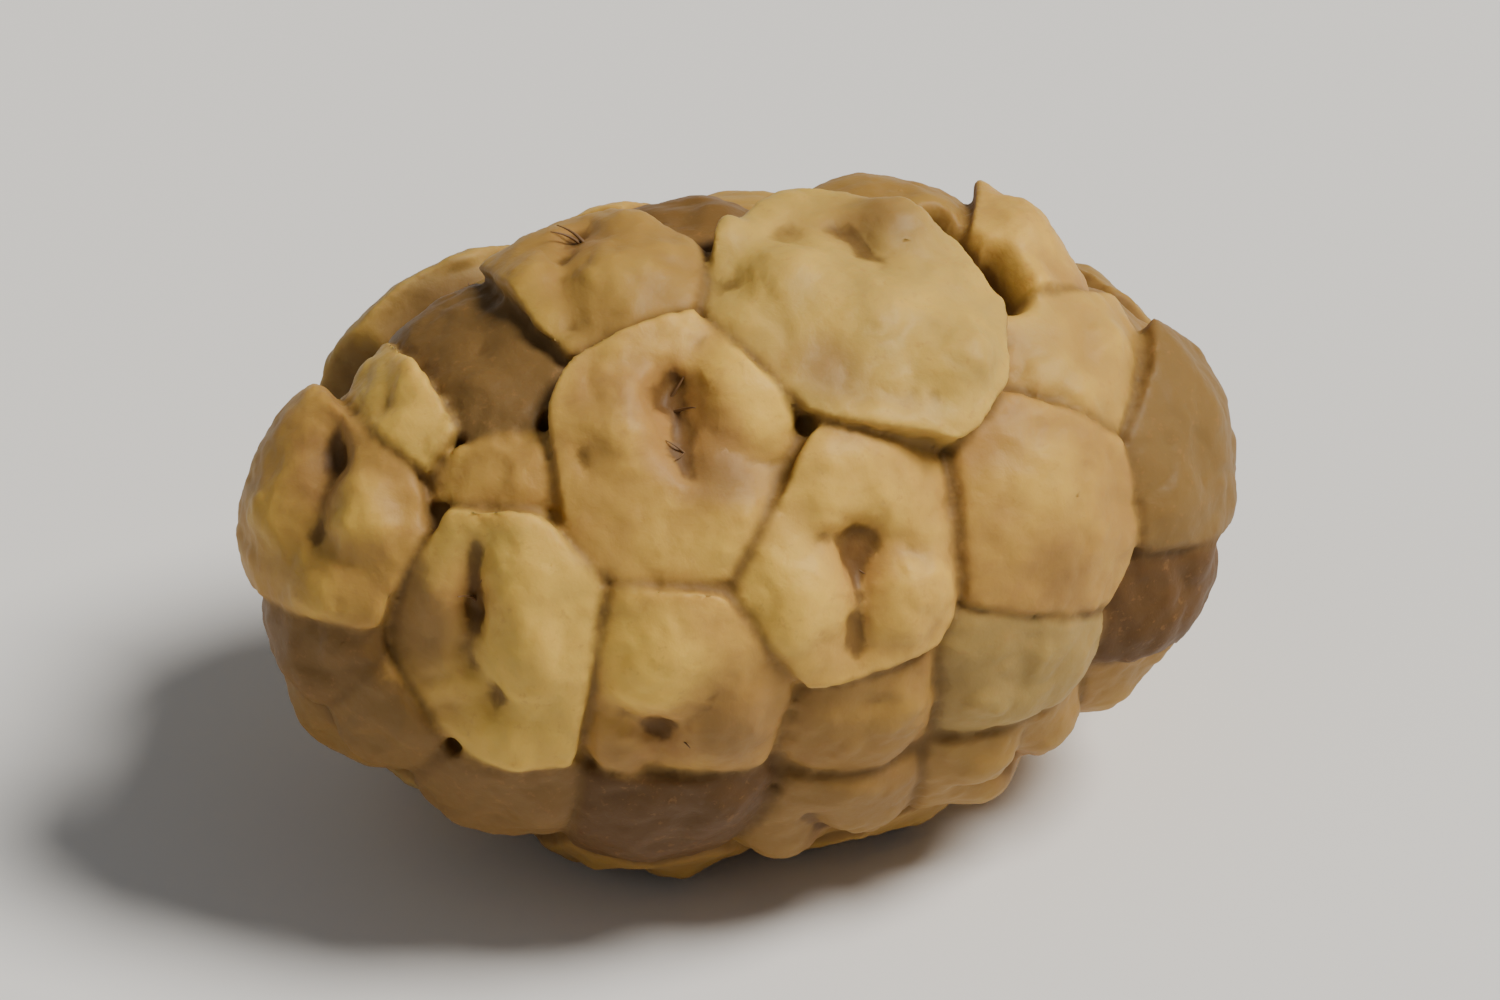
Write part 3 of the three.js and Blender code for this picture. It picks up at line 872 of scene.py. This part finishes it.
def mark_skin(mesh, drupelets, skin):
    """Stores what the skin's colours go by: its drupelet's tint and lightness, which carry painted
    light and shade, how far the nearest seam and the crown are, where it is stained, open or
    tinted, and how hollow it is. The gaps, tints and hollows drive painted shade and painted
    highlights."""
    points = points_of(mesh)
    normals = values_of(mesh.vertices, "normal", 3).astype(float)
    edges = values_of(mesh.edges, "vertices", 2, np.int32)
    owner, depth = owners(points, drupelets)
    facts = np.array([[drupelet.warmth, drupelet.light] for drupelet in drupelets])
    facts = smoothed(facts[owner], edges, 2)
    store(mesh, "warmth", facts[:, 0])
    store(mesh, "light", facts[:, 1])
    store(mesh, "wall", depth)
    girth, stain, tint = np.empty(len(points)), np.zeros(len(points)), np.zeros(len(points))
    for i, drupelet in enumerate(drupelets):
        own = owner == i
        flat = drupelet.local(points[own])[:, :2]
        girth[own] = np.linalg.norm(flat, axis=1)
        form = FORMS[drupelet.form]
        for tuft in form.get("tufts", ()):
            stain[own] += np.exp(-((flat - tuft) ** 2).sum(axis=1) / STAIN_REACH**2)
        for at, reach, amount in form.get("tints_and_painted_light", ()):
            tint[own] += amount * np.exp(-((flat - at) ** 2).sum(axis=1) / reach**2)
    store(mesh, "gap", np.max([share for share, _, _ in gap_shares(points, skin)], axis=0))
    store(mesh, "tint", tint.clip(-MOST_TINT, MOST_TINT))
    store(mesh, "girth", girth)
    store(mesh, "stain", stain.clip(0, 1))
    for name, rounds, depth in HOLLOWS:
        hollow = ((smoothed(points, edges, rounds) - points) * normals).sum(axis=1) / depth
        store(mesh, name, smoothed(hollow[:, None], edges, 2)[:, 0].clip(-1, 1))


class Wire:
    """A shader socket whose operators add Math nodes."""

    def __init__(self, sheet, socket):
        self.sheet = sheet
        self.socket = socket

    def maths(self, operation, first, second):
        return self.sheet.node("ShaderNodeMath", {"operation": operation}, {0: first, 1: second})

    def __add__(self, other):
        return self.maths("ADD", self, other)

    def __sub__(self, other):
        return self.maths("SUBTRACT", self, other)

    def __mul__(self, other):
        return self.maths("MULTIPLY", self, other)

    __radd__ = __add__


class Sheet:
    """The node sheet of one material."""

    def __init__(self, name):
        self.material = bpy.data.materials.new(name)
        self.material.use_nodes = True
        self.tree = self.material.node_tree
        self.tree.nodes.clear()

    def node(self, kind, settings, sockets, output=0):
        node = self.tree.nodes.new(kind)
        for key, value in settings.items():
            setattr(node, key, value)
        for key, value in sockets.items():
            if isinstance(value, Wire):
                self.tree.links.new(value.socket, node.inputs[key])
            else:
                node.inputs[key].default_value = value
        return Wire(self, node.outputs[output]) if node.outputs else None

    def attribute(self, name):
        return self.node("ShaderNodeAttribute", {"attribute_name": name}, {}, "Fac")

    def place(self):
        return self.node("ShaderNodeTexCoord", {}, {}, "Object")

    def noise(self, size, detail=3.0, roughness=0.5, distortion=0.0):
        """A noise pattern whose features are about size millimetres."""
        sockets = {
            "Vector": self.place(),
            "Scale": 1 / (size * MM),
            "Detail": detail,
            "Roughness": roughness,
            "Distortion": distortion,
        }
        return self.node("ShaderNodeTexNoise", {}, sockets, "Fac")

    def blend(self, factor, first, second):
        sockets = {0: factor, 6: colour(first), 7: colour(second)}
        return self.node("ShaderNodeMix", {"data_type": "RGBA"}, sockets, 2)

    def ramp(self, value, low, high):
        """0 at low and 1 at high, smoothly."""
        sockets = {"Value": value, "From Min": low, "From Max": high}
        return self.node("ShaderNodeMapRange", {"interpolation_type": "SMOOTHSTEP"}, sockets)

    def surface(self, **sockets):
        named = {key.replace("_", " "): value for key, value in sockets.items()}
        shader = self.node("ShaderNodeBsdfPrincipled", {}, named)
        self.node("ShaderNodeOutputMaterial", {}, {"Surface": shader})
        return self.material


def colour(value):
    return value if isinstance(value, Wire) else (*value, 1.0)


# What mark_skin stores on the skin.
SKIN_FACTS = ("warmth", "light", "slit", "hollow", "wall", "girth", "stain", "tint", "gap")


def skin_material(looks):
    sheet = Sheet("fruit_skin")
    warmth, light, slit, hollow, wall, girth, stain, tint, gap = (
        sheet.attribute(name) for name in SKIN_FACTS
    )
    patches = sheet.noise(1.8, 4, 0.6, 0.4)
    mottle = sheet.noise(0.5, 4, 0.6, 0.6)
    flecks = sheet.noise(0.12, 3, 0.6)
    # Paler on the crests, on lit drupelets and where tinted paler: partly the pale lobes' own
    # colour and partly a painted highlight.
    pale = sheet.ramp(light * 0.35 + tint * 0.7 + patches - slit * 0.2 - hollow * 0.35, 0.3, 1.2)
    base = sheet.blend(pale, looks.golden, looks.cream_and_highlight)
    # Darker near the seams: partly the seams' own brown and partly painted shade between the
    # drupelets.
    seam = sheet.ramp(wall + (mottle - 0.5) * 0.15 - hollow * 0.08, 0.18, 0.0)
    # Darker in slits and hollows: partly the dry stigmas' own brown and partly painted shade in the
    # recesses.
    dark_slits_and_painted_shade = sheet.ramp(slit + (mottle - 0.5) * 0.4 + hollow * 0.3, 0.4, 1.3)
    inside = sheet.ramp(wall, 0.08, 0.4)
    red = sheet.ramp(warmth + mottle * 0.7 + girth * 0.25 - tint * 0.3, 0.5, 1.4)
    # what lies over the golden and pale skin, from the lowest layer up
    layers = [
        (sheet.ramp(patches * 0.8 - warmth - mottle * 0.2, 0.15, 0.95) * 0.75, looks.olive),
        (red * 0.7, looks.amber),
        (sheet.ramp(stain + mottle - 0.5, 0.25, 1.1) * 0.6, looks.amber),
        # Browner in random patches and where a tint is below 0, which is partly painted shade.
        (sheet.ramp(mottle * 0.5 - tint, 0.2, 1.3) * 0.8, looks.umber),
        # Darker on drupelets of low lightness: partly their own browner colour and partly painted
        # shade where neighbours shade them.
        (sheet.ramp(light * -1.0, 0.0, 1.6) * 0.95, looks.seam_and_shade_brown),
        (sheet.ramp(light * -1.0, 1.3, 2.3) * 0.8, looks.slit_and_shade_brown),
        (sheet.ramp(flecks + mottle * 0.4, 0.78, 0.95) * 0.25, looks.amber),
        # The seams' darkening, partly painted shade.
        (seam * (0.35 + sheet.ramp(patches, 0.3, 0.6) * 0.4), looks.seam_and_shade_brown),
        # Slits and hollows darkened, less near the walls: partly painted shade.
        (dark_slits_and_painted_shade * (0.2 + inside * 0.65), looks.slit_and_shade_brown),
        # Nearly slit brown in the open gaps: painted shade inside the holes between drupelets.
        (sheet.ramp(gap, 0.3, 0.75) * 0.95, looks.slit_and_shade_brown),
    ]
    for share, layer in layers:
        base = sheet.blend(share, base, layer)
    bumps = sheet.noise(0.14, 4, 0.6) * 0.5 + mottle
    normal = sheet.node(
        "ShaderNodeBump", {}, {"Strength": 0.5, "Distance": 0.03 * MM, "Height": bumps}
    )
    return sheet.surface(
        Base_Color=base,
        Roughness=0.44 + mottle * 0.16 + seam * 0.12,
        Normal=normal,
        Subsurface_Weight=0.25,
        Subsurface_Radius=(1.0, 0.45, 0.15),
        Subsurface_Scale=0.5 * MM,
        Specular_IOR_Level=0.2,
    )


def stalk_material(looks):
    sheet = Sheet("stalk_fibre")
    along = sheet.attribute("along")
    sockets = {"Vector": sheet.place(), "Scale": (0.25, 1.0, 1.0)}
    stretched = sheet.node("ShaderNodeMapping", {}, sockets)
    fibres = sheet.node(
        "ShaderNodeTexNoise",
        {},
        {"Vector": stretched, "Scale": 1 / (0.12 * MM), "Detail": 4.0, "Roughness": 0.6},
    )
    patches = sheet.noise(0.6, 3)
    base = sheet.blend(sheet.ramp(fibres, 0.3, 0.7), looks.straw, looks.golden)
    base = sheet.blend(sheet.ramp(patches + along * 0.3, 0.45, 0.9) * 0.6, base, looks.seam_and_shade_brown)
    base = sheet.blend(sheet.ramp(along, 0.93, 1.0) * 0.5, base, looks.slit_and_shade_brown)
    normal = sheet.node(
        "ShaderNodeBump", {}, {"Strength": 0.8, "Distance": 0.04 * MM, "Height": fibres}
    )
    return sheet.surface(
        Base_Color=base, Roughness=0.62 + fibres * 0.2, Normal=normal, Specular_IOR_Level=0.3
    )


def thread_material(looks):
    sheet = Sheet("stigma_thread")
    shade = sheet.noise(0.3, 2)
    base = sheet.blend(shade, looks.thread, looks.seam_and_shade_brown)
    return sheet.surface(Base_Color=base, Roughness=0.5 + shade * 0.2)


FLOOR_TONES = ((0.8, 0.79, 0.77), (0.84, 0.83, 0.81))


def floor_material():
    sheet = Sheet("floor")
    base = sheet.blend(sheet.noise(40, 2), *FLOOR_TONES)
    return sheet.surface(Base_Color=base, Roughness=0.7)


# Dents in the fused skin, the broadest first: the setting that is their height, their
# size in millimetres and the pattern.
DENTS = (
    ("shrivel", 1.3, "SOFT_NOISE"),
    ("pucker", 0.9, "HARD_NOISE"),
    ("wrinkle", 0.34, "HARD_NOISE"),
)
FOOT_SOFTNESS = 0.04  # of the turn from the skin into the flat foot, mm


def fuse(fruit, shape):
    """Turns the joined core and drupelets into one dented skin, flat where it rests."""
    grain = shape.grain * 1
    apply_modifier(fruit, "REMESH", mode="VOXEL", voxel_size=grain)
    keep_outer_skin(fruit)
    apply_modifier(fruit, "SMOOTH", factor=0.5, iterations=3)
    for name, size, pattern in DENTS:
        dent(fruit, name, size, getattr(shape, name), noise_depth=1, noise_type=pattern)
    points = open_gaps(points_of(fruit.data), half_sizes(shape)) + AXIS_PLACE
    points[:, 2] = FOOT_SOFTNESS * np.logaddexp(0, points[:, 2] / FOOT_SOFTNESS)
    set_points(fruit.data, points - AXIS_PLACE)
    count = triangle_count(fruit.data)
    if count > shape.faces:
        apply_modifier(fruit, "DECIMATE", ratio=shape.faces / count)


class MULBERRY_OT_fruit(bpy.types.Operator):
    """Models the drupelets, presses them together and fuses them into one skin"""

    bl_idname = "mulberry.fruit"
    bl_label = "Fruit"

    def execute(self, context):
        shape = context.scene.mulberry_shape
        drupelets = place_drupelets(shape)
        masters = {}
        for form in FORMS:
            widths = [drupelet.width for drupelet in drupelets if drupelet.form == form]
            if widths:
                masters[form] = model_drupelet(form, girth_share(np.mean(widths), shape))
        copies = [place_copy(masters[d.form], d, drupelets, shape) for d in drupelets]
        for master in masters.values():
            bpy.data.objects.remove(master)
        fruit = join(model_core(shape, drupelets) + copies, "mulberry_fruit")
        fuse(fruit, shape)
        mark_skin(fruit.data, drupelets, half_sizes(shape))
        finish_piece(fruit, skin_material(context.scene.mulberry_looks))
        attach(fruit, "root")
        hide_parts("fruit")
        return {"FINISHED"}


STALK_RADII = (0.62, 0.46, 0.4, 0.42)  # from its seat to its end
STALK_STEPS = 24
STALK_SIDES = 40
RIB_HEIGHT = 0.05  # over the radius
FINE_RIB_HEIGHT = 0.03
END_STEPS = ((0.1, 0.0), (0.1, 0.06), (0.12, -0.05))  # inwards and then down
END_SLANT = 0.2
TORN_SHARE = 0.1  # of the stalk's length
BARK_SIZE = 0.25
BARK_HEIGHT = 0.05


def extrude_tube(steps, sides, place, radius):
    """A tube extruded step by step along places, closed at both ends."""
    deselect_all()
    bpy.ops.mesh.primitive_circle_add(
        vertices=sides, radius=radius(0), fill_type="NGON", location=place(0)
    )
    tube = bpy.context.object
    bpy.ops.object.transform_apply(location=True, rotation=True, scale=True)
    bpy.ops.object.mode_set(mode="EDIT")
    bpy.ops.mesh.select_mode(type="FACE")
    bpy.ops.mesh.select_all(action="SELECT")
    for step in range(1, steps + 1):
        share, before = step / steps, (step - 1) / steps
        bpy.ops.mesh.extrude_region_move(
            TRANSFORM_OT_translate={"value": place(share) - place(before)}
        )
        bpy.ops.transform.resize(value=[radius(share) / radius(before)] * 3)
    bpy.ops.mesh.select_all(action="SELECT")
    bpy.ops.mesh.normals_make_consistent(inside=False)
    bpy.ops.object.mode_set(mode="OBJECT")
    return tube


def stalk_radius(share):
    spot = share * (len(STALK_RADII) - 1)
    i = min(int(spot), len(STALK_RADII) - 2)
    part = spot - i
    part = part * part * (3 - 2 * part)
    return STALK_RADII[i] * (1 - part) + STALK_RADII[i + 1] * part


def step_end(stalk, length):
    """Steps the flat end down to its middle."""
    pick(stalk)
    bpy.ops.object.mode_set(mode="EDIT")
    bpy.ops.mesh.select_all(action="DESELECT")
    bpy.ops.object.mode_set(mode="OBJECT")
    for polygon in stalk.data.polygons:
        polygon.select = polygon.center.z > length - 0.001
    bpy.ops.object.mode_set(mode="EDIT")
    for thickness, depth in END_STEPS:
        bpy.ops.mesh.inset(thickness=thickness, depth=-depth)
    bpy.ops.mesh.poke()
    bpy.ops.object.mode_set(mode="OBJECT")


def rib_and_bend(points, length, tip):
    """The straight stalk's points ribbed, torn at the end and bent towards its tip, and
    how far along it each is, from 0 to 1."""
    turn = np.arctan2(points[:, 1], points[:, 0])
    share = points[:, 2] / length
    ribs = RIB_HEIGHT * np.abs(np.sin(2.5 * turn + 0.9 * share))
    ribs += FINE_RIB_HEIGHT * np.sin(7 * turn - 1.6 * share)
    points[:, :2] *= (1 + ribs - 0.03)[:, None]
    torn = np.clip((share - (1 - TORN_SHARE)) / TORN_SHARE, 0, 1)
    points[:, 2] += torn * (0.05 * np.sin(3 * turn + 1) + 0.03 * np.sin(11 * turn) - 0.05)
    share = (points[:, 2] / length).clip(0, 1)
    bent = np.column_stack(
        [
            STALK_SEAT_X + points[:, 2] + points[:, 0] * END_SLANT * share,
            points[:, 1] + tip.y * share**2,
            -points[:, 0] + tip.z * share**2,
        ]
    )
    return bent, share


class MULBERRY_OT_stalk(bpy.types.Operator):
    """Models the ribbed stub of the stalk with its torn end"""

    bl_idname = "mulberry.stalk"
    bl_label = "Stalk"

    def execute(self, context):
        tip = Vector(STALK_TIP)
        length = tip.x - STALK_SEAT_X
        stalk = extrude_tube(
            STALK_STEPS, STALK_SIDES, lambda share: Vector((0, 0, share * length)), stalk_radius
        )
        stalk.name = stalk.data.name = "mulberry_stalk"
        step_end(stalk, length)
        apply_modifier(stalk, "SUBSURF", levels=1, render_levels=1)
        bent, share = rib_and_bend(points_of(stalk.data), length, tip)
        store(stalk.data, "along", share)
        set_points(stalk.data, bent)
        dent(stalk, "bark", BARK_SIZE, BARK_HEIGHT, noise_depth=2)
        finish_piece(stalk, stalk_material(context.scene.mulberry_looks))
        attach(stalk, "root")
        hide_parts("stalk")
        return {"FINISHED"}


THREAD_SEED = 877
THREAD_STEPS = 6
THREAD_SIDES = 6
THREAD_RADIUS = 0.035
THREAD_TAPER = 0.75  # of its radius is lost at the tip
THREAD_LENGTH = 0.6
THREAD_HOOK = 0.32  # how far it curls aside, over its length
THREAD_SINK = 0.08
THREAD_SEARCH = 3  # how far out of a drupelet's middle the skin is looked for
THREAD_LOWEST_FACING = -0.5  # the upward part of its way out
THREADS_A_TUFT = 2


class MULBERRY_OT_threads(bpy.types.Operator):
    """Models one dry stigma and sets curled copies of it in the slits"""

    bl_idname = "mulberry.threads"
    bl_label = "Stigma Threads"

    def execute(self, context):
        shape = context.scene.mulberry_shape
        fruit = bpy.data.objects["mulberry_fruit"]
        points = points_of(fruit.data) / MM - AXIS_PLACE
        faces = [tuple(face.vertices) for face in fruit.data.polygons]
        tree = BVHTree.FromPolygons([tuple(point) for point in points], faces)
        thread = extrude_tube(
            THREAD_STEPS,
            THREAD_SIDES,
            lambda share: Vector((THREAD_HOOK * share**2.2, 0, share * 0.9)) * THREAD_LENGTH,
            lambda share: THREAD_RADIUS * (1 - THREAD_TAPER * share),
        )
        draw = SeededRandom(THREAD_SEED)
        threads = []
        for drupelet in place_drupelets(shape):
            if drupelet.axes[2, 2] < THREAD_LOWEST_FACING:
                continue
            for x, y in FORMS[drupelet.form].get("tufts", ()):
                for _ in range(THREADS_A_TUFT):
                    threads.append(plant_thread(thread, drupelet, x, y, tree, draw))
        bpy.data.objects.remove(thread)
        threads = join([piece for piece in threads if piece], "stigma_threads")
        finish_piece(threads, thread_material(context.scene.mulberry_looks))
        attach(threads, "root")
        return {"FINISHED"}


def plant_thread(thread, drupelet, x, y, tree, draw):
    """A copy of the thread rooted in the skin, leaning and curling its own way."""
    radius = drupelet.width / 2
    side = draw(-0.08, 0.08)
    along = (x + side) * radius * drupelet.stretch
    across = (y + draw(-0.05, 0.05)) * radius
    above = drupelet.centre + drupelet.axes @ [along, across, THREAD_SEARCH]
    out = drupelet.axes[:, 2]
    hit = tree.ray_cast(Vector(above), Vector(-out))[0]
    lean, turn, curl, size = draw(25, 70), draw(0, 360), draw(0, 360), draw(0.6, 1.15)
    if hit is None or (Vector(above) - hit).length > THREAD_SEARCH:
        return None
    obj = bpy.data.objects.new("thread", thread.data.copy())
    bpy.context.collection.objects.link(obj)
    turns = turned("Z", turn) @ turned("X", lean) @ turned("Z", curl)
    placed = points_of(thread.data) * size @ (drupelet.axes @ turns).T
    set_points(obj.data, placed + np.array(hit) - out * THREAD_SINK)
    return obj


FLOOR_SIZE = 4
# Each light's name, its way from the fruit towards the camera's right, up and back, how
# far along that it is and how wide, in metres, its power in watts and its colour.
LIGHTS = (
    ("key", (0.55, 0.65, 0.55), 0.6, 0.24, 5.2, (1.0, 0.96, 0.9)),
    ("fill", (-0.6, 0.25, 0.7), 0.8, 0.8, 0.42, (1.0, 0.98, 0.95)),
)
WORLD_COLOUR = (0.9, 0.95, 1, 1)
WORLD_STRENGTH = 0.15


class MULBERRY_OT_stage(bpy.types.Operator):
    """Sets the pale floor, the soft lights and the camera"""

    bl_idname = "mulberry.stage"
    bl_label = "Stage"

    def execute(self, context):
        deselect_all()
        bpy.ops.mesh.primitive_plane_add(size=FLOOR_SIZE, location=(0, 0, 0))
        floor = context.object
        floor.name = "floor"
        floor.data.materials.append(floor_material())
        right, up, back = camera_axes()
        for name, way, distance, size, power, tint in LIGHTS:
            place = right * way[0] + up * way[1] + back * way[2]
            add_light(name, place * distance, size, power, tint)
        world = bpy.data.worlds.new("studio")
        world.use_nodes = True
        sky = world.node_tree.nodes["Background"].inputs
        sky["Color"].default_value = WORLD_COLOUR
        sky["Strength"].default_value = WORLD_STRENGTH
        context.scene.world = world
        add_camera(right, up, back)
        return {"FINISHED"}


CAMERA_AZIMUTH = -17
CAMERA_ELEVATION = 35
CAMERA_DISTANCE = 0.35
FRAME_WIDTH = 22.6  # of the picture at the fruit, mm
SENSOR_WIDTH = 36


def camera_axes():
    a, e = math.radians(CAMERA_AZIMUTH), math.radians(CAMERA_ELEVATION)
    back = Vector((math.sin(a) * math.cos(e), -math.cos(a) * math.cos(e), math.sin(e)))
    right = Vector((math.cos(a), math.sin(a), 0))
    return right, back.cross(right), back


def add_light(name, place, size, power, tint):
    light = bpy.data.lights.new(name, "AREA")
    light.shape = "DISK"
    light.size = size
    light.energy = power
    light.color = tint
    obj = bpy.data.objects.new(name, light)
    bpy.context.collection.objects.link(obj)
    obj.location = place
    obj.rotation_euler = place.to_track_quat("Z", "Y").to_euler()
    obj.visible_camera = False


def add_camera(right, up, back):
    low, high = CAD_BOX
    camera = bpy.data.cameras.new("camera")
    camera.sensor_width = SENSOR_WIDTH
    camera.lens = SENSOR_WIDTH * CAMERA_DISTANCE / (FRAME_WIDTH * MM)
    camera.clip_start = 0.01
    obj = bpy.data.objects.new("camera", camera)
    bpy.context.collection.objects.link(obj)
    obj.location = (low + high) / 2 + back * CAMERA_DISTANCE
    obj.rotation_mode = "QUATERNION"
    obj.rotation_quaternion = back.to_track_quat("Z", "Y")
    bpy.context.scene.camera = obj


class MULBERRY_PT_panel(bpy.types.Panel):
    """Lists the pieces and their settings"""

    bl_idname = "MULBERRY_PT_panel"
    bl_label = "Dried Mulberry"
    bl_space_type = "VIEW_3D"
    bl_region_type = "UI"
    bl_category = "Mulberry"

    def draw(self, context):
        for group in (context.scene.mulberry_shape, context.scene.mulberry_looks):
            column = self.layout.column()
            for name in group.__annotations__:
                column.prop(group, name)
        for operator in OPERATORS:
            self.layout.operator(operator.bl_idname)


OPERATORS = (MULBERRY_OT_stage, MULBERRY_OT_fruit, MULBERRY_OT_stalk, MULBERRY_OT_threads)
CLASSES = (MulberryShape, MulberryLooks, *OPERATORS, MULBERRY_PT_panel)


def register():
    for cls in CLASSES:
        bpy.utils.register_class(cls)
    bpy.types.Scene.mulberry_shape = PointerProperty(type=MulberryShape)
    bpy.types.Scene.mulberry_looks = PointerProperty(type=MulberryLooks)


def unregister():
    del bpy.types.Scene.mulberry_looks
    del bpy.types.Scene.mulberry_shape
    for cls in reversed(CLASSES):
        bpy.utils.unregister_class(cls)


def main():
    register()
    bpy.ops.mulberry.stage()
    bpy.ops.mulberry.fruit()
    bpy.ops.mulberry.stalk()
    bpy.ops.mulberry.threads()


if __name__ == "__main__":
    main()
